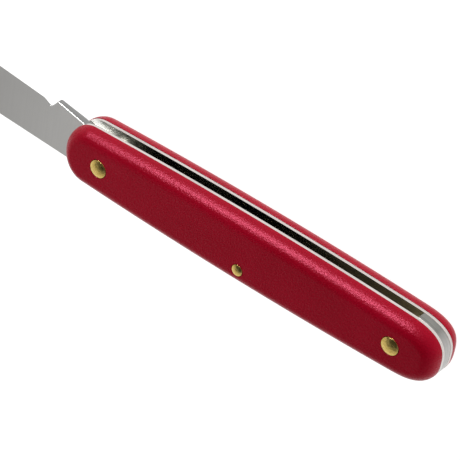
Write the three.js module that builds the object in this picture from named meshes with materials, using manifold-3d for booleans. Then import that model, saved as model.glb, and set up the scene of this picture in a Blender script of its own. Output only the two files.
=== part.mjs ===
// Grafting knife: one folding blade, a backspring and two liners, riveted between two moulded scales.
// Millimetres. The model is drawn about the pivot axis: +X runs to the tip of the open blade, +Y to the
// knife's back, where the spring is, and +Z out of the front scale. The knife lies on its back scale.
import * as THREE from 'three'
import { mergeVertices } from 'three/addons/utils/BufferGeometryUtils.js'
import Module from 'manifold-3d'

const wasm = await Module()
wasm.setup()

// ---- handle ----
const HANDLE_LENGTH = 100
const HANDLE_HALF_WIDTH = 7.99 // of the metal, at mid length
const SCALE_OVERHANG = 0.15 // how far the scales stand out past the metal along both sides
const HANDLE_TAPER = 1.25 // how much narrower each side is at the two ends, before they round off
const FRONT_ROUND = { length: 6.35, power: 2.06 }
const REAR_ROUND = { length: 9.88, power: 2.73 }
const PIVOT_SETBACK = 10.9 // from the handle's front end to the pivot
const CENTRE_LINE = 0.28 // the handle's centre line lies this far from the pivot, towards the back
const END_STEPS = 9 // steps in each rounded quarter of an end
const SIDE_STEPS = 10

// ---- layers, from the middle outwards ----
const SLOT_GAP = 2.2
const LINER_THICKNESS = 0.8
const SCALE_THICKNESS = 3.8
const SCALE_EDGE_INSET = 3 // width of the rounded edge, which is a quarter ellipse as high as the scale
const SCALE_EDGE_STEPS = 6
const LINER_INNER = SLOT_GAP / 2
const LINER_OUTER = LINER_INNER + LINER_THICKNESS
const SCALE_FACE = LINER_OUTER + SCALE_THICKNESS

// ---- rivets: a pin through everything, its ends peened over into a domed collar in each scale ----
const ROUND_STEPS = 32
const HOLE_CLEARANCE = 0.05 // on the radius
const DOME_STEPS = 4
const RIVETS = {
  pivot: { x: 0, y: 0, pin: 1.2, collar: 2.13, dome: 0.45 },
  spring: { x: PIVOT_SETBACK - 50.3, y: 4.17, pin: 0.75, collar: 1.35, dome: 0.3 },
  end: { x: PIVOT_SETBACK - 89.55, y: 0, pin: 1.2, collar: 2.13, dome: 0.45 },
}

// ---- blade ----
const BLADE_THICKNESS = 1.9
const BLADE_REACH = 56 // how far the open blade's tip stands out of the handle
const SPINE_LINE = { x: 12.53, y: 6.12, slope: -0.038 }
const EDGE_LINE = { x: 29, y: -6.49, slope: -0.0924 }
const SPINE_STEP_X = 5.9 // the tang's shoulder, just in front of the spring's end
const TANG_RADIUS = 4.8
const TANG_FLAT = -4.5 // the tang's edge side, inside the handle
const BEVEL = { width: 9, edgeThickness: 0.1, start: 17.4 }
const PLUNGE = { from: [8.5, -4.8], to: [19, 3.4], slope: 0.0863 }
const NAIL_NICK = { x: 38, fromSpine: 1.4, length: 11, width: 1.5, depth: 0.45, steps: 144 }

// ---- backspring ----
const SPRING_FRONT = 5.2 // from the handle's front end to the spring's front end
const TAIL_FRONT = 91.9 // where the slot ends at the spring's wide tail
const TAIL_CHAMFER = 0.4
const SPRING_SEAT = TANG_RADIUS + 0.05

const finishes = {
  nylon: new THREE.MeshStandardMaterial({ color: 0x8c0a1c, roughness: 0.45, metalness: 0 }),
  liner: new THREE.MeshStandardMaterial({ color: 0xd2d2ce, roughness: 0.3, metalness: 1 }),
  steel: new THREE.MeshStandardMaterial({ color: 0xa5a5a0, roughness: 0.35, metalness: 1 }),
  brass: new THREE.MeshStandardMaterial({ color: 0xc8a860, roughness: 0.3, metalness: 1 }),
}

const knife = new THREE.Group()

// ---- handle outline ----

// How far the handle's edge is from its centre line, at a distance from its front end. The edge stands
// further out by the overhang at mid length, and by less where the ends round off.
function halfWidth(station, overhang) {
  const fromMiddle = (station - HANDLE_LENGTH / 2) / (HANDLE_LENGTH / 2)
  const side = HANDLE_HALF_WIDTH + overhang - HANDLE_TAPER * fromMiddle ** 2
  return side * endRounding(station, FRONT_ROUND) * endRounding(HANDLE_LENGTH - station, REAR_ROUND)
}

function endRounding(distance, { length, power }) {
  if (distance >= length) return 1
  return (1 - (1 - distance / length) ** power) ** (1 / power)
}

// Stations along one rounded end, close together where it turns fastest.
function endStations({ length, power }) {
  return Array.from({ length: END_STEPS + 1 }, (_, i) => {
    const turn = (i / END_STEPS) * (Math.PI / 2)
    return length * (1 - Math.cos(turn) ** (2 / power))
  })
}

function handleStations() {
  const front = endStations(FRONT_ROUND)
  const rear = endStations(REAR_ROUND).map((distance) => HANDLE_LENGTH - distance).reverse()
  const sideLength = HANDLE_LENGTH - FRONT_ROUND.length - REAR_ROUND.length
  const side = Array.from(
    { length: SIDE_STEPS - 1 },
    (_, i) => FRONT_ROUND.length + (sideLength * (i + 1)) / SIDE_STEPS,
  )
  return [...front, ...side, ...rear]
}

// A point of the handle's edge. side is 1 on the back and -1 on the slot side.
function rimPoint(station, side, overhang = 0) {
  return new THREE.Vector2(PIVOT_SETBACK - station, CENTRE_LINE + side * halfWidth(station, overhang))
}

function handleOutline(overhang = 0) {
  const stations = handleStations()
  const back = stations.map((station) => rimPoint(station, 1, overhang))
  const slotSide = stations.slice(1, -1).reverse().map((station) => rimPoint(station, -1, overhang))
  return new THREE.Shape([...back, ...slotSide])
}

// ---- small helpers ----

function circle({ x, y }, radius) {
  return new THREE.Path(
    Array.from({ length: ROUND_STEPS }, (_, i) => {
      const turn = (i / ROUND_STEPS) * 2 * Math.PI
      return new THREE.Vector2(x + radius * Math.cos(turn), y + radius * Math.sin(turn))
    }),
  )
}

function plate(shape, bottom, top) {
  const geometry = new THREE.ExtrudeGeometry(shape, { depth: top - bottom, bevelEnabled: false })
  return geometry.translate(0, 0, bottom)
}

// Turns a profile of [radius, height] points about the Z axis.
function turned(profile) {
  const points = profile.map(([radius, height]) => new THREE.Vector2(radius, height))
  return new THREE.LatheGeometry(points, ROUND_STEPS).rotateX(Math.PI / 2)
}

function toSolid(geometry) {
  const bare = new THREE.BufferGeometry()
  bare.setAttribute('position', geometry.getAttribute('position').clone())
  if (geometry.index) bare.setIndex(geometry.index.clone())
  const merged = mergeVertices(bare, 1e-5)
  return new wasm.Manifold(
    new wasm.Mesh({
      numProp: 3,
      vertProperties: new Float32Array(merged.getAttribute('position').array),
      triVerts: new Uint32Array(merged.index.array),
    }),
  )
}

function toGeometry(solid) {
  const mesh = solid.getMesh()
  const geometry = new THREE.BufferGeometry()
  geometry.setAttribute('position', new THREE.BufferAttribute(new Float32Array(mesh.vertProperties), 3))
  geometry.setIndex(new THREE.BufferAttribute(new Uint32Array(mesh.triVerts), 1))
  return geometry
}

function addPiece(name, geometry, finish) {
  const piece = new THREE.Mesh(geometry, finishes[finish])
  piece.name = name
  knife.add(piece)
}

// ---- scales: the outline with its outer edge rounded over, and a hole for each collar ----

function scaleGeometry() {
  const rounded = new THREE.ExtrudeGeometry(handleOutline(SCALE_OVERHANG), {
    depth: 2 * LINER_OUTER,
    bevelThickness: SCALE_THICKNESS,
    bevelSize: SCALE_EDGE_INSET,
    bevelOffset: -SCALE_EDGE_INSET,
    bevelSegments: SCALE_EDGE_STEPS,
  }).translate(0, 0, -LINER_OUTER)
  const below = new THREE.BoxGeometry(3 * HANDLE_LENGTH, HANDLE_LENGTH, 4 * SCALE_FACE)
  below.translate(0, 0, LINER_OUTER - 2 * SCALE_FACE)
  let solid = toSolid(rounded).subtract(toSolid(below))
  for (const rivet of Object.values(RIVETS)) {
    const hole = new THREE.Shape(circle(rivet, rivet.collar + HOLE_CLEARANCE).getPoints())
    solid = solid.subtract(toSolid(plate(hole, 0, 2 * SCALE_FACE)))
  }
  return toGeometry(solid)
}

const scale = scaleGeometry()
addPiece('front_scale', scale, 'nylon')
addPiece('back_scale', toGeometry(toSolid(scale).mirror([0, 0, 1])), 'nylon')

// ---- liners ----

function linerGeometry(bottom) {
  const outline = handleOutline()
  for (const rivet of Object.values(RIVETS)) {
    outline.holes.push(circle(rivet, rivet.pin + HOLE_CLEARANCE))
  }
  return plate(outline, bottom, bottom + LINER_THICKNESS)
}

addPiece('front_liner', linerGeometry(LINER_INNER), 'liner')
addPiece('back_liner', linerGeometry(-LINER_OUTER), 'liner')

// ---- backspring: a bar along the back, humped at the middle pin, with a tail round the rear end ----

function springGeometry() {
  const back = handleStations().filter((station) => station > SPRING_FRONT)
  const tailStart = TAIL_FRONT + TAIL_CHAMFER
  const tail = handleStations().filter((station) => station > tailStart).slice(0, -1).reverse()
  const outline = new THREE.Shape([
    rimPoint(SPRING_FRONT, 1),
    ...back.map((station) => rimPoint(station, 1)),
    ...tail.map((station) => rimPoint(station, -1)),
    rimPoint(tailStart, -1),
    rimPoint(TAIL_FRONT, -1).add(new THREE.Vector2(0, TAIL_CHAMFER)),
  ])
  const end = RIVETS.end
  const middle = RIVETS.spring
  outline.lineTo(end.x - 2.1, -4.7)
  outline.bezierCurveTo(end.x + 1, -4, end.x + 3.1, -2, end.x + 3.1, 0.3)
  outline.bezierCurveTo(end.x + 3.1, 3.2, end.x + 6, 4.5, end.x + 11, 4.5)
  outline.lineTo(middle.x - 9, 4.5)
  outline.bezierCurveTo(middle.x - 4, 4.5, middle.x - 4, 2.35, middle.x, 2.35)
  outline.bezierCurveTo(middle.x + 4, 2.35, middle.x + 4, 4.42, middle.x + 9, 4.42)
  outline.lineTo(-15, 4.42)
  outline.lineTo(-11, SPRING_SEAT)
  outline.lineTo(PIVOT_SETBACK - SPRING_FRONT, SPRING_SEAT)
  outline.closePath()
  outline.holes.push(circle(middle, middle.pin + HOLE_CLEARANCE), circle(end, end.pin + HOLE_CLEARANCE))
  const geometry = new THREE.ExtrudeGeometry(outline, {
    depth: SLOT_GAP,
    bevelEnabled: false,
    curveSegments: 8,
  })
  return geometry.translate(0, 0, -LINER_INNER)
}

addPiece('backspring', springGeometry(), 'steel')

// ---- blade: sheepsfoot, flat on the front side, with the bevel and the nail nick on the other ----

function along(line, x) {
  return line.y + line.slope * (x - line.x)
}

function bladeOutline() {
  const tipX = PIVOT_SETBACK + BLADE_REACH
  const spineEnd = 34
  const outline = new THREE.Shape()
  outline.moveTo(0, TANG_RADIUS)
  outline.lineTo(SPINE_STEP_X - 0.15, TANG_RADIUS)
  outline.quadraticCurveTo(SPINE_STEP_X, TANG_RADIUS, SPINE_STEP_X, TANG_RADIUS + 0.15)
  outline.lineTo(SPINE_STEP_X, along(SPINE_LINE, SPINE_STEP_X))
  outline.lineTo(spineEnd, along(SPINE_LINE, spineEnd))
  outline.bezierCurveTo(50, along(SPINE_LINE, 50), 61, 2.5, tipX - 0.5, along(EDGE_LINE, tipX) + 1.1)
  outline.quadraticCurveTo(tipX, along(EDGE_LINE, tipX) + 0.3, tipX - 0.7, along(EDGE_LINE, tipX - 0.7))
  outline.lineTo(21.2, along(EDGE_LINE, 21.2))
  outline.quadraticCurveTo(20.4, -5.73, 20, -5.45)
  outline.lineTo(18.75, -4.66)
  outline.quadraticCurveTo(18.3, -4.4, 18.05, -4.75)
  outline.lineTo(17.1, -5.9)
  outline.quadraticCurveTo(16.75, -6.7, 16.2, -6.62)
  outline.lineTo(8.1, -4.8)
  outline.quadraticCurveTo(6.8, TANG_FLAT, 5.4, TANG_FLAT)
  const arcFrom = Math.PI + Math.asin(-TANG_FLAT / TANG_RADIUS)
  outline.lineTo(-TANG_RADIUS * Math.cos(arcFrom), TANG_FLAT)
  outline.absarc(0, 0, TANG_RADIUS, 3 * Math.PI - arcFrom, Math.PI / 2, true)
  outline.holes.push(circle(RIVETS.pivot, RIVETS.pivot.pin + HOLE_CLEARANCE))
  return outline
}

// A long prism whose upper face slopes. It starts at a point and runs along a direction in the blade's
// plane. Its section is in [distance, height], with the distance measured across that direction.
function grindingWheel(section, start, direction, length) {
  const shape = new THREE.Shape(section.map(([distance, height]) => new THREE.Vector2(distance, height)))
  const run = new THREE.Vector3(direction[0], direction[1], 0).normalize()
  const up = new THREE.Vector3(0, 0, 1)
  const across = new THREE.Vector3().crossVectors(up, run)
  const place = new THREE.Matrix4().makeBasis(across, up, run.clone())
  place.setPosition(start[0], start[1], 0)
  return new THREE.ExtrudeGeometry(shape, { depth: length, bevelEnabled: false }).applyMatrix4(place)
}

// A half-moon groove for a fingernail, cut by the rim of a wide shallow cone standing across the blade.
function nailNickCutter() {
  const { x, fromSpine, length, width, depth, steps } = NAIL_NICK
  const radius = ((length / 2) ** 2 + depth ** 2) / (2 * depth)
  const cone = new THREE.CylinderGeometry(radius, radius - depth, width, steps)
  const centreY = along(SPINE_LINE, x) - fromSpine - width / 2
  return cone.translate(x, centreY, depth - radius - BLADE_THICKNESS / 2)
}

function bladeGeometry() {
  const half = BLADE_THICKNESS / 2
  const far = 12
  const blank = new THREE.ExtrudeGeometry(bladeOutline(), {
    depth: BLADE_THICKNESS,
    bevelEnabled: false,
    curveSegments: 10,
  }).translate(0, 0, -half)
  const bevelSlope = (BLADE_THICKNESS - BEVEL.edgeThickness) / BEVEL.width
  const bevelAt = (distance) => half - BEVEL.edgeThickness - bevelSlope * distance
  const bevel = grindingWheel(
    [[-2, bevelAt(-2)], [far, bevelAt(far)], [far, -far], [-2, -far]],
    [BEVEL.start, along(EDGE_LINE, BEVEL.start)],
    [1, EDGE_LINE.slope],
    2 * BLADE_REACH,
  )
  const [from, to] = [PLUNGE.from, PLUNGE.to]
  const plungeRun = [to[0] - from[0], to[1] - from[1]]
  const plunge = grindingWheel(
    [[0, -half], [0, -far], [-far, -far], [-far, -half + PLUNGE.slope * far]],
    from,
    plungeRun,
    Math.hypot(...plungeRun),
  )
  const ground = toSolid(blank).subtract(toSolid(bevel)).subtract(toSolid(plunge))
  return toGeometry(ground.subtract(toSolid(nailNickCutter())))
}

addPiece('blade', bladeGeometry(), 'steel')

// ---- rivets ----

// Height of the dome that a collar and its pin's end share, at a distance from the axis.
function domeHeight({ collar, dome }, distance) {
  const radius = (collar ** 2 + dome ** 2) / (2 * dome)
  return SCALE_FACE + dome - radius + Math.sqrt(radius ** 2 - distance ** 2)
}

function collarGeometry(rivet) {
  const bore = rivet.pin + HOLE_CLEARANCE
  const profile = [[bore, LINER_OUTER], [rivet.collar, LINER_OUTER]]
  for (let i = 0; i <= DOME_STEPS; i++) {
    const distance = rivet.collar + ((bore - rivet.collar) * i) / DOME_STEPS
    profile.push([distance, domeHeight(rivet, distance)])
  }
  profile.push(profile[0])
  return turned(profile).translate(rivet.x, rivet.y, 0)
}

function pinGeometry(rivet) {
  const end = Array.from({ length: DOME_STEPS + 1 }, (_, i) => {
    const distance = (rivet.pin * i) / DOME_STEPS
    return [distance, domeHeight(rivet, distance)]
  })
  const profile = [...end.map(([distance, height]) => [distance, -height]), ...end.reverse()]
  return turned(profile).translate(rivet.x, rivet.y, 0)
}

for (const [name, rivet] of Object.entries(RIVETS)) {
  const collar = collarGeometry(rivet)
  addPiece(`${name}_pin`, pinGeometry(rivet), 'brass')
  addPiece(`front_${name}_collar`, collar, 'brass')
  addPiece(`back_${name}_collar`, toGeometry(toSolid(collar).mirror([0, 0, 1])), 'brass')
}

// The origin is the middle of the open knife's footprint, on the surface that it lies on.
const footprint = new THREE.Box3().setFromObject(knife)
const middle = footprint.getCenter(new THREE.Vector3())
knife.position.set(-middle.x, -middle.y, -footprint.min.z)

export default knife
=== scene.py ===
import math

import bmesh
import bpy
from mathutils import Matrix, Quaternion, Vector, noise


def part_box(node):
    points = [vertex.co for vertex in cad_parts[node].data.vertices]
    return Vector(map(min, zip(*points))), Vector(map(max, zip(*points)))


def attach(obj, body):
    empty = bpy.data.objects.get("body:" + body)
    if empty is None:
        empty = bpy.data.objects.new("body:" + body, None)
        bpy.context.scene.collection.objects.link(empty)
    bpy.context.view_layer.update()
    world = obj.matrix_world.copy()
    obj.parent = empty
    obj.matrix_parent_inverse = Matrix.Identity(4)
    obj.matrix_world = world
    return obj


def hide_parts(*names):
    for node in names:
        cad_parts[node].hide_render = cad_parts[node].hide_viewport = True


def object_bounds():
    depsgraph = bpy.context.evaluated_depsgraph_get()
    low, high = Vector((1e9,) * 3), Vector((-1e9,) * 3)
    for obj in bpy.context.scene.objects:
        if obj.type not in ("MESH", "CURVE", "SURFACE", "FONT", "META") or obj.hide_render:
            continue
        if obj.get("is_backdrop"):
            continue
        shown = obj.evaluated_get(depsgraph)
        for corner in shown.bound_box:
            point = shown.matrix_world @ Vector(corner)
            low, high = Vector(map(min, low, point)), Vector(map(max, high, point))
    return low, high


# Looks of a folding grafting knife. Shapes are worked out in millimetres about the pivot axis, with +X to
# the open blade's tip, +Y to the knife's back and +Z out of the front scale. They go into the part's frame,
# in metres, when a mesh is made.

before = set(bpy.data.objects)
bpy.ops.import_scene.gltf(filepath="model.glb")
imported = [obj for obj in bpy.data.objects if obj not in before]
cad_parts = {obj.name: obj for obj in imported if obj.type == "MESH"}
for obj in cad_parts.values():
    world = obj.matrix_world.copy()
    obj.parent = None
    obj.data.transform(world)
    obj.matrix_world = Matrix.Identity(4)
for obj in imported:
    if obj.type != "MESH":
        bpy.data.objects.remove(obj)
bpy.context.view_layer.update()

MM = 0.001
MICRON = 0.000001
pivot_low, pivot_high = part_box("pivot_pin")
ORIGIN = (pivot_low + pivot_high) / 2


def local_box(node):
    """Lowest and highest corner of a CAD node, in millimetres about the pivot."""
    low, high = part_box(node)
    return (low - ORIGIN) / MM, (high - ORIGIN) / MM


# ---- measures taken from the frame ----
scale_low, scale_high = local_box("front_scale")
liner_low, liner_high = local_box("front_liner")
_, spring_high = local_box("backspring")
_, blade_high = local_box("blade")

HANDLE_LENGTH = scale_high.x - scale_low.x
FRONT_END = scale_high.x
CENTRE_LINE = (scale_low.y + scale_high.y) / 2
LINER_INNER = liner_low.z
LINER_OUTER = liner_high.z
SCALE_FACE = scale_high.z
SLOT_HALF = spring_high.z
BLADE_HALF = blade_high.z
TIP_X = blade_high.x


def rivet(name):
    """Where a rivet is, its radii and how far its dome stands out of the scale."""
    pin_low, pin_high = local_box(f"{name}_pin")
    collar_low, collar_high = local_box(f"front_{name}_collar")
    return {
        "x": (pin_low.x + pin_high.x) / 2,
        "y": (pin_low.y + pin_high.y) / 2,
        "pin": (pin_high.x - pin_low.x) / 2,
        "collar": (collar_high.x - collar_low.x) / 2,
        "dome": pin_high.z - SCALE_FACE,
    }


RIVETS = {name: rivet(name) for name in ("pivot", "spring", "end")}

# ---- measures of the handle's outline ----
HALF_WIDTH = 7.98  # of the metal, at mid length
OVERHANG = 0.15  # how far the scales stand out past the metal
TAPER = 1.25  # how much narrower each side is at the two ends, before they round off
FRONT_ROUND = (6.35, 2.06)  # length and power of the rounding at the front end
REAR_ROUND = (9.88, 2.73)
END_STEPS = 40
SIDE_STEPS = 70
SKIN = 0.015  # every smooth outline lies this far inside the CAD one,
PLATE_SKIN = 0.005  # and the faces of the flat pieces this far
HOLE_CLEARANCE = 0.05  # on the radius, round each pin


# ---- outlines ----


def end_rounding(distance, shape):
    """What the rounded end leaves of the width, at a distance from it."""
    length, power = shape
    if distance >= length:
        return 1.0
    return max(0.0, 1 - (1 - distance / length) ** power) ** (1 / power)


def half_width(station, overhang):
    """How far the handle's edge is from its centre line, at a distance from its front end."""
    half = HANDLE_LENGTH / 2
    side = HALF_WIDTH + overhang - TAPER * ((station - half) / half) ** 2
    return side * end_rounding(station, FRONT_ROUND) * end_rounding(HANDLE_LENGTH - station, REAR_ROUND)


def end_stations(shape):
    """Stations along one rounded end, close together where it turns fastest."""
    length, power = shape
    turns = [i / END_STEPS * math.pi / 2 for i in range(END_STEPS + 1)]
    return [length * (1 - math.cos(turn) ** (2 / power)) for turn in turns]


def handle_stations():
    front = end_stations(FRONT_ROUND)
    rear = [HANDLE_LENGTH - distance for distance in reversed(end_stations(REAR_ROUND))]
    reach = HANDLE_LENGTH - FRONT_ROUND[0] - REAR_ROUND[0]
    side = [FRONT_ROUND[0] + reach * i / SIDE_STEPS for i in range(1, SIDE_STEPS)]
    return front + side + rear


def rim_point(station, side, overhang=0.0):
    """A point of the handle's edge. side is 1 on the back and -1 on the slot side."""
    return Vector((FRONT_END - station, CENTRE_LINE + side * half_width(station, overhang)))


def handle_outline(overhang=0.0):
    """The handle's edge as a closed line of points, anticlockwise seen from +Z."""
    stations = handle_stations()
    back = [rim_point(station, 1, overhang) for station in stations]
    slot_side = [rim_point(station, -1, overhang) for station in reversed(stations[1:-1])]
    return inset(back + slot_side, SKIN)


def bezier(start, control_a, control_b, end, steps):
    """Points of a cubic curve after its start, its end included."""
    points = []
    for i in range(1, steps + 1):
        t = i / steps
        u = 1 - t
        points.append(
            Vector(start) * u**3
            + Vector(control_a) * 3 * u * u * t
            + Vector(control_b) * 3 * u * t * t
            + Vector(end) * t**3
        )
    return points


CORNER_STEPS = 8


def quadratic(start, control, end, steps=CORNER_STEPS):
    """Points of a curve with one control point, after its start, its end included."""
    start, control, end = Vector(start), Vector(control), Vector(end)
    return bezier(start, start.lerp(control, 2 / 3), end.lerp(control, 2 / 3), end, steps)


def arc(centre, radius, turn_from, turn_to, steps):
    return [
        Vector((centre[0] + radius * math.cos(turn), centre[1] + radius * math.sin(turn)))
        for turn in (turn_from + (turn_to - turn_from) * i / steps for i in range(steps + 1))
    ]


MAX_STRETCH = 1.6  # a corner's point moves at most this many times as far as the sides beside it
FOLDED = 1e-6  # where a line turns right back, its two inward directions cancel out to less than this


def inset(outline, amount):
    """An anticlockwise outline moved inwards by an amount, or by one amount for each point."""
    count = len(outline)
    amounts = amount if isinstance(amount, list) else [amount] * count
    moved = []
    for i, point in enumerate(outline):
        before = (point - outline[i - 1]).normalized()
        after = (outline[(i + 1) % count] - point).normalized()
        inward_a = Vector((-before.y, before.x))
        inward_b = Vector((-after.y, after.x))
        inward = inward_a + inward_b
        if inward.length < FOLDED:
            inward = inward_a.copy()
        inward.normalize()
        stretch = 1 / max(1 / MAX_STRETCH, inward.dot(inward_a))
        moved.append(point + inward * amounts[i] * stretch)
    return moved


# ---- meshes ----

SMOOTH_ANGLE = math.radians(30)
SAME_POINT = 1e-8  # metres
TURN_STEPS = 96
CUTTER_STEPS = 64
EDGE_STEPS = 4
FLAT_MARGIN = 0.05  # a flat face keeps a narrow border of its own, so that its shading stays flat
DENTS = ((1.1, 1.0, 7), (2.3, 0.5, 3))  # of hammering: cells in each millimetre, share and seed
DENT_SQUEEZE = 0.1  # of the dents' cells, along the rivet's axis


def place(point):
    return ORIGIN + Vector(point) * MM


def ring_of(outline, height):
    return [(point.x, point.y, height) for point in outline]


def new_object(name, bm, same_point=SAME_POINT):
    bmesh.ops.remove_doubles(bm, verts=bm.verts, dist=same_point)
    bmesh.ops.recalc_face_normals(bm, faces=bm.faces)
    mesh = bpy.data.meshes.new(name)
    bm.to_mesh(mesh)
    bm.free()
    obj = bpy.data.objects.new(name, mesh)
    bpy.context.scene.collection.objects.link(obj)
    shade(obj)
    return obj


def shade(obj):
    mesh = obj.data
    mesh.polygons.foreach_set("use_smooth", [True] * len(mesh.polygons))
    mesh.set_sharp_from_angle(angle=SMOOTH_ANGLE)


def loft(name, rings, last_face=True, same_point=SAME_POINT):
    """A skin through closed rings of equal length, with a face over the first ring and over the last one.
    A last ring that is folded up to a line needs no face."""
    bm = bmesh.new()
    loops = [[bm.verts.new(place(point)) for point in ring] for ring in rings]
    for lower, upper in zip(loops, loops[1:]):
        for i in range(len(lower)):
            j = (i + 1) % len(lower)
            bm.faces.new((lower[i], lower[j], upper[j], upper[i]))
    bm.faces.new(list(reversed(loops[0])))
    if last_face:
        bm.faces.new(loops[-1])
    return new_object(name, bm, same_point)


def hammered(x, y, height, depth):
    """The height that is left at a point of a rivet's head, after dents of up to a depth."""
    if abs(height) <= SCALE_FACE:
        return height
    dent = sum(
        share * noise.noise(Vector((x * cells, y * cells, height * DENT_SQUEEZE + seed)))
        for cells, share, seed in DENTS
    )
    return height - math.copysign(abs(dent) * depth, height)


def turned(name, centre, profile, steps=TURN_STEPS, dent_depth=0.0):
    """A closed profile of (radius, height) points turned about an axis along Z."""
    bm = bmesh.new()
    columns = []
    for i in range(steps):
        turn = 2 * math.pi * i / steps
        column = []
        for radius, height in profile:
            x = centre[0] + radius * math.cos(turn)
            y = centre[1] + radius * math.sin(turn)
            column.append(bm.verts.new(place((x, y, hammered(x, y, height, dent_depth)))))
        columns.append(column)
    count = len(profile)
    for i in range(steps):
        here, there = columns[i], columns[(i + 1) % steps]
        for k in range(count):
            m = (k + 1) % count
            if profile[k][0] == 0 and profile[m][0] == 0:
                continue
            corners = [here[k], there[k], there[m], here[m]]
            if profile[k][0] == 0:
                corners = [here[k], there[m], here[m]]
            elif profile[m][0] == 0:
                corners = [here[k], there[k], here[m]]
            bm.faces.new(corners)
    return new_object(name, bm)


def carve(obj, cutters):
    """Takes the cutters out of a mesh and removes them."""
    for cutter in cutters:
        cut = obj.modifiers.new("cut", "BOOLEAN")
        cut.operation = "DIFFERENCE"
        cut.solver = "EXACT"
        cut.object = cutter
    graph = bpy.context.evaluated_depsgraph_get()
    carved = bpy.data.meshes.new_from_object(obj.evaluated_get(graph))
    obj.modifiers.clear()
    obj.data = carved
    for cutter in cutters:
        bpy.data.objects.remove(cutter)
    shade(obj)


def plate(name, outline, bottom, top, rounding):
    """A flat plate with rounded edges. rounding is one radius, or one for each point of the outline."""
    radii = rounding if isinstance(rounding, list) else [rounding] * len(outline)
    rings = [ring_of(inset(outline, [radius + FLAT_MARGIN for radius in radii]), bottom)]
    for i in range(EDGE_STEPS + 1):
        turn = math.pi / 2 * i / EDGE_STEPS
        moved = inset(outline, [radius * (1 - math.sin(turn)) for radius in radii])
        rise = [radius * (1 - math.cos(turn)) for radius in radii]
        rings.append([(p.x, p.y, bottom + h) for p, h in zip(moved, rise)])
    rings.append([(p.x, p.y, bottom + radius + FLAT_MARGIN) for p, radius in zip(outline, radii)])
    for lower in reversed(rings[:]):
        rings.append([(x, y, bottom + top - height) for x, y, height in lower])
    return loft(name, rings)


def pin_hole(data, bottom, top):
    """A round cutter with room for a rivet's pin."""
    radius = data["pin"] + HOLE_CLEARANCE
    profile = [(0, bottom), (radius, bottom), (radius, top), (0, top)]
    return turned("cutter", (data["x"], data["y"]), profile, steps=CUTTER_STEPS)


# ---- materials ----


def fill_ramp(ramp, stops):
    """Gives a colour ramp its (position, (red, green, blue)) stops."""
    elements = ramp.color_ramp.elements
    while len(elements) < len(stops):
        elements.new(0.5)
    for element, (position, colour) in zip(elements, stops):
        element.position = position
        element.color = (*colour, 1)


def fill_range(node, low, high, to_low, to_high):
    """Sets a Map Range node to spread low to high over to_low to to_high."""
    numbers = {"From Min": low, "From Max": high, "To Min": to_low, "To Max": to_high}
    for socket, number in numbers.items():
        node.inputs[socket].default_value = number


def grey(level):
    return (level, level, level)


class Surface:
    """A procedural material under construction, in the piece's own coordinates, in metres."""

    def __init__(self, name, metallic, roughness, specular=0.5):
        self.material = bpy.data.materials.new(name)
        self.material.use_nodes = True
        self.nodes = self.material.node_tree.nodes
        self.links = self.material.node_tree.links
        self.shader = self.nodes["Principled BSDF"]
        self.shader.inputs["Metallic"].default_value = metallic
        self.shader.inputs["Roughness"].default_value = roughness
        self.shader.inputs["Specular IOR Level"].default_value = specular
        self.where = self.nodes.new("ShaderNodeTexCoord").outputs["Object"]
        self.last_bump = None

    def noise(self, scale, stretch=(1, 1, 1), detail=3):
        """Noise with a number of cells in each metre, squeezed by stretch along each axis."""
        mapping = self.nodes.new("ShaderNodeMapping")
        mapping.inputs["Scale"].default_value = stretch
        texture = self.nodes.new("ShaderNodeTexNoise")
        texture.inputs["Scale"].default_value = scale
        texture.inputs["Detail"].default_value = detail
        self.links.new(self.where, mapping.inputs["Vector"])
        self.links.new(mapping.outputs["Vector"], texture.inputs["Vector"])
        return texture.outputs["Fac"]

    def along_knife(self, start, end, at_start=0, at_end=1):
        """A value that changes between two places along the frame's X axis, given in metres."""
        split = self.nodes.new("ShaderNodeSeparateXYZ")
        self.links.new(self.where, split.inputs["Vector"])
        return self.spread(split.outputs["X"], start, end, at_start, at_end)

    def spread(self, value, low, high, to_low, to_high):
        """A value between low and high, spread over another range."""
        node = self.nodes.new("ShaderNodeMapRange")
        fill_range(node, low, high, to_low, to_high)
        self.links.new(value, node.inputs["Value"])
        return node.outputs["Result"]

    def colours(self, value, *stops):
        """Colours along a value: (position, (red, green, blue)) pairs."""
        ramp = self.nodes.new("ShaderNodeValToRGB")
        fill_ramp(ramp, stops)
        self.links.new(value, ramp.inputs["Fac"])
        return ramp.outputs["Color"]

    def mix(self, fac, a, b, blend="MIX"):
        """From a to b, which are colours, levels of grey or the outputs of other nodes."""
        node = self.nodes.new("ShaderNodeMix")
        node.data_type = "RGBA"
        node.blend_type = blend
        for socket, value in (("Factor", fac), ("A", a), ("B", b)):
            target = next(s for s in node.inputs if s.name == socket and s.enabled)
            if isinstance(value, bpy.types.NodeSocket):
                self.links.new(value, target)
            elif socket == "Factor":
                target.default_value = value
            else:
                target.default_value = (*value, 1)
        return next(s for s in node.outputs if s.enabled)

    def multiply(self, a, b):
        return self.mix(1.0, a, b, "MULTIPLY")

    def colour(self, value):
        self.links.new(value, self.shader.inputs["Base Color"])

    def roughness(self, value):
        self.links.new(value, self.shader.inputs["Roughness"])

    def bump(self, value, depth):
        """Adds relief of a depth in metres."""
        node = self.nodes.new("ShaderNodeBump")
        node.inputs["Distance"].default_value = depth
        self.links.new(value, node.inputs["Height"])
        if self.last_bump:
            self.links.new(self.last_bump, node.inputs["Normal"])
        self.last_bump = node.outputs["Normal"]
        self.links.new(self.last_bump, self.shader.inputs["Normal"])


# Places along the knife, in metres in the part's frame, between which a finish, a painted light or a
# painted shade changes.
OIL_TURNS_BROWN = (-0.03, -0.07)
WALL_LIT_AT_MOUTH = (0.001, 0.018)
TAIL_PAINTED_REFLECTION = (-0.0774, -0.0746)
BLADE_LIGHT_FADES = (0.022, 0.046)
SLOT_MOUTH = (0.012, 0.018)
TANG_TURNS_ROUGH = (0.0145, 0.018)


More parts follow.
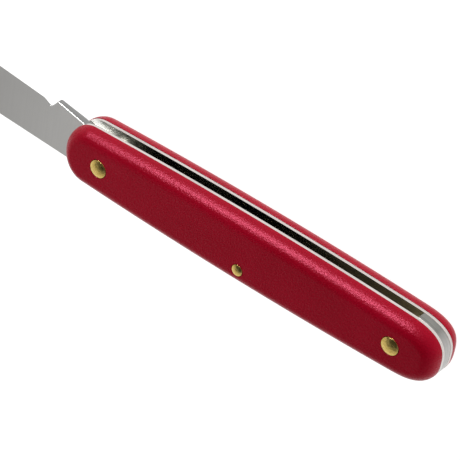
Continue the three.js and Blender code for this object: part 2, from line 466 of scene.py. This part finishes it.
def red_nylon():
    """Moulded nylon with the fine grain of an eroded mould."""
    surface = Surface("red_nylon", 0.03, 0.3, specular=0.13)
    surface.shader.inputs["Specular Tint"].default_value = (1.0, 0.42, 0.68, 1)
    cloud = surface.noise(90, detail=2)
    speck = surface.noise(2200, detail=4)
    body = surface.colours(cloud, (0.3, (0.372, 0.001, 0.0135)), (0.7, (0.410, 0.0013, 0.0165)))
    grain = surface.colours(speck, (0.35, (0.94, 0.91, 0.92)), (0.65, grey(1.0)))
    surface.colour(surface.multiply(body, grain))
    surface.roughness(surface.spread(speck, 0.3, 0.7, 0.24, 0.34))
    surface.bump(surface.noise(1500, detail=1), 20 * MICRON)
    surface.bump(surface.noise(2500, detail=2), 80 * MICRON)
    return surface.material


def liner_metal():
    """Bright rolled sheet, with fine lines along the knife where its edge was ground with the scales."""
    surface = Surface("liner_aluminium", 1.0, 0.3)
    lines = surface.noise(900, stretch=(0.06, 1, 3), detail=4)
    surface.colour(surface.colours(lines, (0.3, (0.54, 0.50, 0.48)), (0.7, (0.68, 0.64, 0.61))))
    surface.roughness(surface.spread(lines, 0.3, 0.7, 0.22, 0.34))
    surface.bump(lines, 6 * MICRON)
    return surface.material


def slot_wall():
    """The liners' faces inside the handle: unpolished sheet under an oil film, which is brown at the rear;
    drawn darker inside the slot as painted shade and lighter at the front, where the slot opens, as painted
    light."""
    surface = Surface("slot_wall", 1.0, 0.25)
    film = surface.noise(500, stretch=(0.3, 1, 1), detail=3)
    # painted light: the walls are drawn lighter at the front, where the slot opens
    painted_light_mouth = surface.colours(film, (0.3, (0.66, 0.66, 0.62)), (0.75, (0.76, 0.76, 0.73)))
    # painted shade: the walls inside the slot are drawn darker, and brown with oil towards the rear
    oil_and_shade = surface.colours(film, (0.3, (0.42, 0.40, 0.34)), (0.75, (0.52, 0.50, 0.44)))
    brown_oil_and_shade = surface.colours(film, (0.3, (0.40, 0.34, 0.20)), (0.75, (0.50, 0.43, 0.27)))
    rear = surface.along_knife(*OIL_TURNS_BROWN)
    front = surface.along_knife(*WALL_LIT_AT_MOUTH)
    surface.colour(surface.mix(front, surface.mix(rear, oil_and_shade, brown_oil_and_shade), painted_light_mouth))
    smooth = surface.mix(front, surface.spread(film, 0.3, 0.7, 0.11, 0.2), grey(0.3))
    surface.roughness(surface.mix(rear, smooth, grey(0.45)))
    surface.bump(film, 2 * MICRON)
    return surface.material


def spring_metal():
    """Ground steel, with lines along the knife, drawn dark as painted shade and lighter at the rear end as
    a painted reflection.
    """
    surface = Surface("spring_steel", 1.0, 0.34)
    lines = surface.noise(1400, stretch=(0.08, 0.08, 3), detail=4)
    patch = surface.noise(160, detail=2)
    # painted shade: the steel is drawn much darker than it is; painted reflection: lighter grey at the rear
    # end
    shaded_ground = surface.colours(lines, (0.3, (0.18, 0.18, 0.17)), (0.7, (0.26, 0.26, 0.24)))
    painted_reflection = surface.colours(lines, (0.3, (0.42, 0.41, 0.40)), (0.7, (0.54, 0.53, 0.51)))
    reflecting_rear_end = surface.along_knife(*TAIL_PAINTED_REFLECTION, 1, 0)
    cloud = surface.colours(patch, (0.3, grey(0.86)), (0.7, grey(1.0)))
    surface.colour(surface.multiply(surface.mix(reflecting_rear_end, shaded_ground, painted_reflection), cloud))
    surface.roughness(surface.spread(lines, 0.3, 0.7, 0.28, 0.42))
    surface.bump(lines, 8 * MICRON)
    return surface.material


def blade_metal():
    """Stainless steel with a fine satin finish across the blade, drawn lighter near the handle as painted
    light.
    """
    surface = Surface("blade_steel", 1.0, 0.36)
    lines = surface.noise(2200, stretch=(1, 0.03, 1), detail=3)
    patch = surface.noise(60, detail=2)
    satin = surface.colours(lines, (0.3, (0.655, 0.645, 0.625)), (0.7, (0.675, 0.665, 0.645)))
    # painted light: the face is drawn lighter near the handle
    lit_near_handle = surface.colours(lines, (0.3, (0.79, 0.78, 0.755)), (0.7, (0.82, 0.81, 0.785)))
    tone = surface.mix(surface.along_knife(*BLADE_LIGHT_FADES), lit_near_handle, satin)
    cloud = surface.colours(patch, (0.3, grey(0.95)), (0.7, grey(1.0)))
    surface.colour(surface.multiply(tone, cloud))
    surface.roughness(surface.spread(lines, 0.3, 0.7, 0.34, 0.40))
    surface.bump(lines, 0.8 * MICRON)
    return surface.material


def ground_edge():
    """The blade's narrow faces: ground steel, drawn dark as painted shade inside and outside the handle,
    with a painted highlight at its mouth.
    """
    surface = Surface("blade_edge", 1.0, 0.42)
    lines = surface.noise(1500, stretch=(0.05, 0.05, 3), detail=4)
    # painted shade: the narrow faces are drawn dark inside the handle and outside it; painted highlight: a
    # bright band at the handle's mouth
    shaded_inside, painted_highlight, shaded_ground = (0.24, 0.24, 0.22), (0.66, 0.66, 0.64), (0.26, 0.26, 0.255)
    tone = surface.colours(surface.along_knife(*SLOT_MOUTH), (0.0, shaded_inside), (0.45, painted_highlight), (1.0, shaded_ground))
    streaks = surface.colours(lines, (0.3, grey(0.8)), (0.7, grey(1.0)))
    surface.colour(surface.multiply(tone, streaks))
    surface.roughness(surface.along_knife(*TANG_TURNS_ROUGH, 0.32, 0.42))
    surface.bump(lines, 6 * MICRON)
    return surface.material


def brass():
    """Peened brass: rounded dents, a little tarnish between them."""
    surface = Surface("brass", 1.0, 0.24)
    dents = surface.noise(900, detail=2)
    tarnish = surface.noise(1800, detail=4)
    dark, clean, bright = (0.70, 0.50, 0.12), (0.88, 0.64, 0.19), (0.94, 0.71, 0.27)
    surface.colour(surface.colours(tarnish, (0.3, dark), (0.55, clean), (0.8, bright)))
    surface.roughness(surface.spread(tarnish, 0.3, 0.7, 0.22, 0.32))
    surface.bump(dents, 20 * MICRON)
    surface.bump(tarnish, 5 * MICRON)
    return surface.material


NYLON = red_nylon()
LINER = liner_metal()
WALL = slot_wall()
SPRING = spring_metal()
BLADE = blade_metal()
BLADE_EDGE = ground_edge()
BRASS = brass()


def dress(obj, body, node, slot, *materials):
    """Puts a finished piece in the place of its CAD node."""
    obj.data.materials.clear()
    for material in materials:
        obj.data.materials.append(material)
    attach(obj, body)
    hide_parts(node)


# ---- scales: a quarter ellipse from the liner to the top, which is very slightly crowned ----

EDGE_INSET = 3.0
CROWN = 0.012
EDGE_RINGS = 16
TOP_RINGS = 9
SEAM = 0.05  # the scale's edge is broken by this much where it meets the liner
EDGE_FOOT = 1.5 * SEAM  # the curved edge starts at least this far over the liner
CREST_REAR = 4.2  # the top's middle line ends this far from the rear of the flat part
CREST_FRONT = 3.4


def scale_height(depth):
    """Height over the liner at a distance inwards from the rim."""
    edge = 1 - min(depth / EDGE_INSET, 1)
    crown = 1 - CROWN * (1 - min(depth / HALF_WIDTH, 1)) ** 2
    return (SCALE_FACE - LINER_OUTER - SKIN) * math.sqrt(1 - edge * edge) * crown


def scale_rings():
    """Rings from the liner up over the edge and in to the top's middle line."""
    outline = handle_outline(OVERHANG)
    rings = [ring_of(inset(outline, SEAM), LINER_OUTER), ring_of(outline, LINER_OUTER + SEAM)]
    for i in range(1, EDGE_RINGS + 1):
        depth = EDGE_INSET * (1 - math.cos(math.pi / 2 * i / EDGE_RINGS))
        height = LINER_OUTER + max(scale_height(depth), EDGE_FOOT)
        rings.append(ring_of(inset(outline, depth), height))
    shoulder = inset(outline, EDGE_INSET)
    left = min(point.x for point in shoulder) + CREST_REAR
    right = max(point.x for point in shoulder) - CREST_FRONT
    for i in range(1, TOP_RINGS + 1):
        share = i / TOP_RINGS
        depth = EDGE_INSET + (HALF_WIDTH - EDGE_INSET) * share
        height = LINER_OUTER + scale_height(depth)
        ring = []
        for point in shoulder:
            middle = Vector((min(max(point.x, left), right), CENTRE_LINE))
            moved = point.lerp(middle, share)
            ring.append((moved.x, moved.y, height))
        rings.append(ring)
    return rings


HEAD_GAP = 0.11  # between a collar and its hole in the scale
LIP_WIDTH = 0.09
LIP_DEPTH = 0.1
LIP_BEND = 0.3  # share of the lip's width at its middle height
CUTTER_REACH = 1  # how far a cutter goes on past the faces that it cuts


def head_hole(data, side):
    """The hole for a collar, with a softened lip. side is 1 in the front scale and -1 in the back one."""
    radius = data["collar"] + HEAD_GAP
    bottom = LINER_OUTER - CUTTER_REACH
    top = SCALE_FACE + CUTTER_REACH
    lip = SCALE_FACE - LIP_DEPTH
    mouth = radius + LIP_WIDTH
    profile = [(0, bottom), (radius, bottom), (radius, lip - LIP_WIDTH)]
    profile += [(radius + LIP_WIDTH * LIP_BEND, lip), (mouth, SCALE_FACE), (mouth, top), (0, top)]
    profile = [(r, side * height) for r, height in profile]
    return turned("cutter", (data["x"], data["y"]), profile)


CREST_SAME_POINT = 1e-7  # metres: the two sides of the top meet on its middle line

for name, side in (("front_scale", 1), ("back_scale", -1)):
    rings = [[(x, y, side * z) for x, y, z in ring] for ring in scale_rings()]
    piece = loft(f"{name}_moulding", rings, last_face=False, same_point=CREST_SAME_POINT)
    carve(piece, [head_hole(data, side) for data in RIVETS.values()])
    dress(piece, "handle", name, "red_nylon", NYLON)

# ---- liners ----

LINER_EDGE = 0.0  # sheared, not rounded
FACE_NORMAL = 0.9  # a face is one of the sheet's broad ones if its normal's Z is over this

for name, side in (("front_liner", 1), ("back_liner", -1)):
    low, high = sorted((side * LINER_INNER, side * LINER_OUTER))
    piece = plate(f"{name}_sheet", handle_outline(), low + PLATE_SKIN, high - PLATE_SKIN, LINER_EDGE)
    carve(piece, [pin_hole(data, low - CUTTER_REACH, high + CUTTER_REACH) for data in RIVETS.values()])
    dress(piece, "handle", name, "liner_aluminium", LINER, WALL)
    for face in piece.data.polygons:
        if abs(face.normal.z) > FACE_NORMAL:
            face.material_index = 1

# ---- backspring: a bar along the back, humped at the middle pin, with a tail round the rear end ----

SPRING_FRONT = 5.2  # from the handle's front end to the spring's front end
TAIL_FRONT = 91.9  # where the slot ends at the spring's wide tail
TAIL_CORNER = 0.4
TAIL_CORNER_STEPS = 5
SPRING_SEAT = 4.86  # just clear of the tang
SPRING_EDGE = 0.1
INNER_STEPS = 16

# Curves of the spring's inner side, with x from the end pin and from the middle one.
TAIL_CURVES = (
    ((-2.1, -4.7), (1, -4), (3.1, -2), (3.1, 0.3)),
    ((3.1, 0.3), (3.1, 3.2), (6, 4.5), (11, 4.5)),
)
HUMP_CURVES = (
    ((-9, 4.5), (-4, 4.5), (-4, 2.35), (0, 2.35)),
    ((0, 2.35), (4, 2.35), (4, 4.42), (9, 4.42)),
)
SEAT_RISE = ((-15, 4.42), (-11, SPRING_SEAT))


def inner_side(pin_x, curves):
    """The points along some curves, their first point included."""
    moved = [[(pin_x + x, y) for x, y in curve] for curve in curves]
    points = [Vector(moved[0][0])]
    for curve in moved:
        points += bezier(*curve, INNER_STEPS)
    return points


def spring_outline():
    """The spring's edge, anticlockwise from its front end."""
    stations = handle_stations()
    back = [SPRING_FRONT] + [station for station in stations if station > SPRING_FRONT]
    tail_start = TAIL_FRONT + TAIL_CORNER
    tail = [station for station in stations if station > tail_start][:-1]
    points = [rim_point(station, 1) for station in back]
    points += [rim_point(station, -1) for station in reversed(tail)]
    start = rim_point(tail_start, -1)
    end = rim_point(TAIL_FRONT, -1) + Vector((0, TAIL_CORNER))
    points += [start] + quadratic(start, (end.x, start.y), end, TAIL_CORNER_STEPS)
    points += inner_side(RIVETS["end"]["x"], TAIL_CURVES)
    points += inner_side(RIVETS["spring"]["x"], HUMP_CURVES)
    points += [Vector(point) for point in SEAT_RISE]
    points.append(Vector((FRONT_END - SPRING_FRONT, SPRING_SEAT)))
    return inset(points, SKIN)


half = SLOT_HALF - PLATE_SKIN
reach = SLOT_HALF + CUTTER_REACH
spring = plate("backspring_bar", spring_outline(), -half, half, SPRING_EDGE)
carve(spring, [pin_hole(RIVETS[name], -reach, reach) for name in ("spring", "end")])
dress(spring, "handle", "backspring", "spring_steel", SPRING)

# ---- blade: sheepsfoot, flat on the front side, with the bevel and the nail nick on the other ----

TANG_RADIUS = 4.8
TANG_FLAT = -4.5  # the tang's edge side, inside the handle
TANG_STEPS = 60
SHOULDER_X = 5.9  # just in front of the spring's front end
SHOULDER_CORNER = 0.15
SHOULDER_STEPS = 4
SPINE_LINE = (12.53, 6.12, -0.038)  # x, y, slope
SPINE_STATIONS = (26, 18, 12, 8, SHOULDER_X)
EDGE_LINE = (29, -6.49, -0.0924)
EDGE_STATIONS = (30, 40, 50, 60)

# Corners of the edge side, from the tang to the cutting edge: start, control point and end.
RAMP_FOOT = ((5.4, TANG_FLAT), (6.8, TANG_FLAT), (8.1, -4.8))
KICK = ((16.2, -6.62), (16.75, -6.7), (17.1, -5.9))
NOTCH = ((18.05, -4.75), (18.3, -4.4), (18.75, -4.66))
HEEL_START, HEEL_CORNER, HEEL_END_X = (20, -5.45), (20.4, -5.73), 21.2
RAMP_STEPS = 12

TIP_START = 0.7  # the tip's rounding starts this far before it
TIP_CORNER = (0, 0.3)  # from the point where the edge's line ends
TIP_TOP = (-0.5, 1.1)
BELLY_CORNER = (61, 2.5)
BELLY_X = 50
SPINE_END_X = 34  # where the spine bends down to the tip
BELLY_STEPS = 40

# Roundings between the blade's narrow faces and its sides.
SHARP = 0.0
HEEL_ROUND = 0.02
NOTCH_ROUND = 0.04
FINE_ROUND = 0.06
KICK_ROUND = 0.1
RAMP_ROUND = 0.13


def along(line, x):
    """Height of a line, given as x, y and slope, at another x."""
    return line[1] + line[2] * (x - line[0])


def on_line(line, x):
    return Vector((x, along(line, x)))


def blade_outline():
    """The blade's edge, anticlockwise, with the rounding that each point of it has."""
    flat_turn = math.asin(-TANG_FLAT / TANG_RADIUS)
    tang = arc((0, 0), TANG_RADIUS, math.pi / 2, 2 * math.pi - flat_turn, TANG_STEPS)
    foot, kick = Vector(RAMP_FOOT[-1]), Vector(KICK[0])
    ramp = [foot.lerp(kick, i / RAMP_STEPS) for i in range(1, RAMP_STEPS + 1)]
    edge_end = on_line(EDGE_LINE, TIP_X - TIP_START)
    tip = on_line(EDGE_LINE, TIP_X)
    tip_top = tip + Vector(TIP_TOP)
    belly = (tip_top, BELLY_CORNER, on_line(SPINE_LINE, BELLY_X), on_line(SPINE_LINE, SPINE_END_X))
    shoulder = Vector((SHOULDER_X, TANG_RADIUS))
    shoulder_top = shoulder + Vector((0, SHOULDER_CORNER))
    shoulder_end = shoulder - Vector((SHOULDER_CORNER, 0))
    runs = (
        (FINE_ROUND, tang),
        (FINE_ROUND, [Vector(RAMP_FOOT[0])]),
        (RAMP_ROUND, quadratic(*RAMP_FOOT)),
        (RAMP_ROUND, ramp),
        (KICK_ROUND, quadratic(*KICK)),
        (FINE_ROUND, [Vector(NOTCH[0])]),
        (NOTCH_ROUND, quadratic(*NOTCH)),
        (HEEL_ROUND, [Vector(HEEL_START)]),
        (SHARP, quadratic(HEEL_START, HEEL_CORNER, on_line(EDGE_LINE, HEEL_END_X))),
        (SHARP, [on_line(EDGE_LINE, x) for x in EDGE_STATIONS]),
        (SHARP, [edge_end]),
        (SHARP, quadratic(edge_end, tip + Vector(TIP_CORNER), tip_top)),
        (FINE_ROUND, bezier(*belly, BELLY_STEPS)),
        (FINE_ROUND, [on_line(SPINE_LINE, x) for x in SPINE_STATIONS]),
        (FINE_ROUND, [shoulder_top]),
        (FINE_ROUND, quadratic(shoulder_top, shoulder, shoulder_end, SHOULDER_STEPS)),
    )
    outline = [point for _, points in runs for point in points]
    rounding = [amount for amount, points in runs for _ in points]
    return outline, rounding


FAR = 12  # how far the cutters reach into the blade and under it
BEVEL_WIDTH = 9.0
BEVEL_START = 17.4
BEVEL_LENGTH = 120  # well past the tip
BEVEL_OUTSIDE = 2  # how far the bevel's cutter starts outside the cutting edge
EDGE_THICKNESS = 0.1
PLUNGE_FROM, PLUNGE_TO, PLUNGE_SLOPE = (8.5, -4.8), (19, 3.4), 0.0863


def wedge(section, start, direction, length):
    """A cutter whose section, in (across, up), is drawn along a direction in the blade's plane."""
    run = Vector((*direction, 0)).normalized()
    across = Vector((0, 0, 1)).cross(run)
    base = Vector((*start, 0))
    rings = []
    for distance in (0, length):
        rings.append([base + run * distance + across * a + Vector((0, 0, z)) for a, z in section])
    return loft("cutter", rings)


def bevel_cutter():
    """Takes the far side off in one flat bevel, up from the cutting edge."""
    slope = (2 * BLADE_HALF - EDGE_THICKNESS) / BEVEL_WIDTH
    top = BLADE_HALF - EDGE_THICKNESS
    outer = (-BEVEL_OUTSIDE, top + slope * BEVEL_OUTSIDE)
    inner = (FAR, top - slope * FAR)
    section = [outer, (-BEVEL_OUTSIDE, -FAR), (FAR, -FAR), inner]
    return wedge(section, on_line(EDGE_LINE, BEVEL_START), (1, EDGE_LINE[2]), BEVEL_LENGTH)


def plunge_cutter():
    """Narrows the tang's far side towards the kick."""
    run = (PLUNGE_TO[0] - PLUNGE_FROM[0], PLUNGE_TO[1] - PLUNGE_FROM[1])
    section = [(0, -BLADE_HALF), (-FAR, -BLADE_HALF + PLUNGE_SLOPE * FAR), (-FAR, -FAR), (0, -FAR)]
    return wedge(section, PLUNGE_FROM, run, math.hypot(*run))


NICK_X = 38
NICK_FROM_SPINE = 1.4
NICK_LENGTH = 11
NICK_WIDTH = 1.5
NICK_DEPTH = 0.45
NICK_SPREAD = 0.12 * math.pi  # half of the turn that the cutter's rim covers
NICK_STEPS = 60
NICK_FOOT = (9, -8)  # the cutter's lower corners, to both sides of the nick and under the blade


def nail_nick():
    """A cutter for the nail nick: the rim of a wide shallow cone that stands across the blade."""
    radius = ((NICK_LENGTH / 2) ** 2 + NICK_DEPTH**2) / (2 * NICK_DEPTH)
    top = along(SPINE_LINE, NICK_X) - NICK_FROM_SPINE
    centre = (NICK_X, NICK_DEPTH - radius - BLADE_HALF)
    across, down = NICK_FOOT
    rings = []
    for y, reach in ((top - NICK_WIDTH, radius - NICK_DEPTH), (top, radius)):
        rim = arc(centre, reach, math.pi / 2 - NICK_SPREAD, math.pi / 2 + NICK_SPREAD, NICK_STEPS)
        rim += [Vector((NICK_X - across, down)), Vector((NICK_X + across, down))]
        rings.append([(point.x, y, point.y) for point in rim])
    return loft("cutter", rings)


NARROW_NORMAL = 0.3  # a face is one of the blade's narrow ones if its normal's Z is under this

outline, rounding = blade_outline()
half = BLADE_HALF - PLATE_SKIN
reach = BLADE_HALF + CUTTER_REACH
blade = plate("blade_steel", inset(outline, SKIN), -half, half, rounding)
carve(blade, [bevel_cutter(), plunge_cutter(), nail_nick(), pin_hole(RIVETS["pivot"], -reach, reach)])
dress(blade, "blade", "blade", "blade_steel", BLADE, BLADE_EDGE)
for face in blade.data.polygons:
    if abs(face.normal.z) < NARROW_NORMAL:
        face.material_index = 1

# ---- rivets: a pin through everything, its ends peened over into a domed collar in each scale ----

RIM_START = 0.98  # share of the collar's radius from which the dome's rim turns down
RIM_DROP = 0.02
DOME_STEPS = 10
FLARE = 0.04  # how much wider the pin's head is than its shank
HEAD_SEAM = 0.01  # between the pin's head and the collar, and under the collar
NECK = (0.5, 1.0)  # heights over the liner between which the shank widens to the head
PEENING = 0.03


def dome_height(data, distance):
    """Height of a rivet's domed head at a distance from its axis."""
    dome = data["dome"] - SKIN
    radius = (data["collar"] ** 2 + dome**2) / (2 * dome)
    turn = max(0.0, (distance / data["collar"] - RIM_START) / (1 - RIM_START))
    drop = RIM_DROP * (1 - math.sqrt(1 - min(turn, 1) ** 2))
    return SCALE_FACE + dome - radius + math.sqrt(radius**2 - distance**2) - drop


def collar_profile(data, bore):
    """A collar's section, with the dome's points close together at its rim."""
    foot = LINER_OUTER + HEAD_SEAM
    profile = [(bore, foot), (data["collar"], foot)]
    count = 2 * DOME_STEPS
    for i in range(count + 1):
        share = math.sin(math.pi / 2 * (1 - i / count))
        distance = bore + (data["collar"] - bore) * share
        profile.append((distance, dome_height(data, distance)))
    return profile


def pin_profile(data, head):
    """Half of a pin's section, from its shank to the middle of one head."""
    neck_start, neck_end = NECK
    profile = [(data["pin"], LINER_OUTER + neck_start), (head, LINER_OUTER + neck_end)]
    for i in range(DOME_STEPS + 1):
        distance = head * (1 - i / DOME_STEPS)
        profile.append((distance, dome_height(data, distance)))
    return profile


for name, data in RIVETS.items():
    centre = (data["x"], data["y"])
    head = data["pin"] + FLARE
    for side, side_name in ((1, "front"), (-1, "back")):
        profile = [(radius, side * height) for radius, height in collar_profile(data, head + HEAD_SEAM)]
        collar = turned(f"{side_name}_{name}_collar_brass", centre, profile, dent_depth=PEENING)
        dress(collar, "handle", f"{side_name}_{name}_collar", "brass", BRASS)
    half = pin_profile(data, head)
    profile = half + [(radius, -height) for radius, height in reversed(half)]
    pin = turned(f"{name}_pin_brass", centre, profile, dent_depth=PEENING)
    dress(pin, "handle", f"{name}_pin", "brass", BRASS)

# ---- floor, light and camera ----

FLOOR_HALF = 6  # metres
FLOOR_STEPS = 8
FLOOR_GLOW = 0.96
SKY = ((0.0, 1.0), (0.34, 0.72), (0.7, 0.46), (0.8, 0.14), (0.9, 0.03), (1.0, 0.02))  # height, level
REAR_SHADE = (-1, 0.2, 0.75, 1)  # the level falls to 0.75 towards the side behind the handle's rear end


def pale_floor():
    surface = Surface("floor", 0.0, 0.9, specular=0.1)
    surface.colour(surface.colours(surface.noise(3, detail=2), (0.3, grey(0.30)), (0.7, grey(0.34))))
    surface.shader.inputs["Emission Color"].default_value = (*grey(1.0), 1)
    surface.shader.inputs["Emission Strength"].default_value = FLOOR_GLOW
    bm = bmesh.new()
    bmesh.ops.create_grid(bm, x_segments=FLOOR_STEPS, y_segments=FLOOR_STEPS, size=FLOOR_HALF)
    floor = new_object("floor", bm)
    floor.data.materials.append(surface.material)
    return floor


def studio_world():
    """A light tent: bright at the horizon and dark overhead."""
    world = bpy.data.worlds.new("studio")
    bpy.context.scene.world = world
    world.use_nodes = True
    nodes, links = world.node_tree.nodes, world.node_tree.links
    direction = nodes.new("ShaderNodeTexCoord")
    split = nodes.new("ShaderNodeSeparateXYZ")
    ramp = nodes.new("ShaderNodeValToRGB")
    rear_shade = nodes.new("ShaderNodeMapRange")
    fill_ramp(ramp, [(height, grey(level)) for height, level in SKY])
    fill_range(rear_shade, *REAR_SHADE)
    links.new(direction.outputs["Generated"], split.inputs["Vector"])
    links.new(split.outputs["Z"], ramp.inputs["Fac"])
    links.new(ramp.outputs["Color"], nodes["Background"].inputs["Color"])
    links.new(split.outputs["X"], rear_shade.inputs["Value"])
    links.new(rear_shade.outputs["Result"], nodes["Background"].inputs["Strength"])


def looking_from(azimuth, elevation):
    """The direction from the object to something at an azimuth and elevation; azimuth 0 is along -Y."""
    a, e = math.radians(azimuth), math.radians(elevation)
    return Vector((math.sin(a) * math.cos(e), -math.cos(a) * math.cos(e), math.sin(e)))


def softbox(name, azimuth, elevation, distance, width, height, watts):
    """A rectangular lamp that faces the pivot."""
    light = bpy.data.lights.new(name, "AREA")
    light.shape = "RECTANGLE"
    light.size = width
    light.size_y = height
    light.energy = watts
    lamp = bpy.data.objects.new(name, light)
    bpy.context.scene.collection.objects.link(lamp)
    out = looking_from(azimuth, elevation)
    lamp.location = ORIGIN + out * distance
    lamp.rotation_mode = "QUATERNION"
    lamp.rotation_quaternion = (-out).to_track_quat("-Z", "Y")
    return lamp


floor = pale_floor()
floor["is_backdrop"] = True
studio_world()
key_lamp = softbox("key", azimuth=19.5, elevation=21, distance=0.8, width=0.34, height=0.40, watts=12.2)
key_lamp.visible_diffuse = False  # it is there for its reflection along the scales' rounded edges
fill_lamp = softbox("fill", azimuth=125, elevation=62, distance=0.22, width=0.12, height=0.12, watts=0.12)
fill_lamp.visible_glossy = False
side_lamp = softbox("side", azimuth=5, elevation=5, distance=0.6, width=0.3, height=0.12, watts=0.7)
side_lamp.visible_glossy = False

CAMERA_AIM = Vector((-0.0211561, 0.0011703, 0.00615))
CAMERA_DISTANCE = 0.5593887
CAMERA_AZIMUTH, CAMERA_ELEVATION, CAMERA_ROLL = -34.2179, 42.39, -124.2678  # degrees
FOCAL_LENGTH, SENSOR_WIDTH = 205.286, 36  # millimetres
NEAREST = 0.01

camera_data = bpy.data.cameras.new("camera")
camera_data.lens = FOCAL_LENGTH
camera_data.sensor_width = SENSOR_WIDTH
camera_data.clip_start = NEAREST
camera = bpy.data.objects.new("camera", camera_data)
bpy.context.scene.collection.objects.link(camera)
to_camera = looking_from(CAMERA_AZIMUTH, CAMERA_ELEVATION)
camera.location = CAMERA_AIM + to_camera * CAMERA_DISTANCE
camera.rotation_mode = "QUATERNION"
level = (-to_camera).to_track_quat("-Z", "Y")
camera.rotation_quaternion = level @ Quaternion((0, 0, 1), math.radians(CAMERA_ROLL))
bpy.context.scene.camera = camera
bpy.context.scene.view_settings.view_transform = "Standard"

# ---- bounds of the drawn pieces ----

low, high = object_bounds()
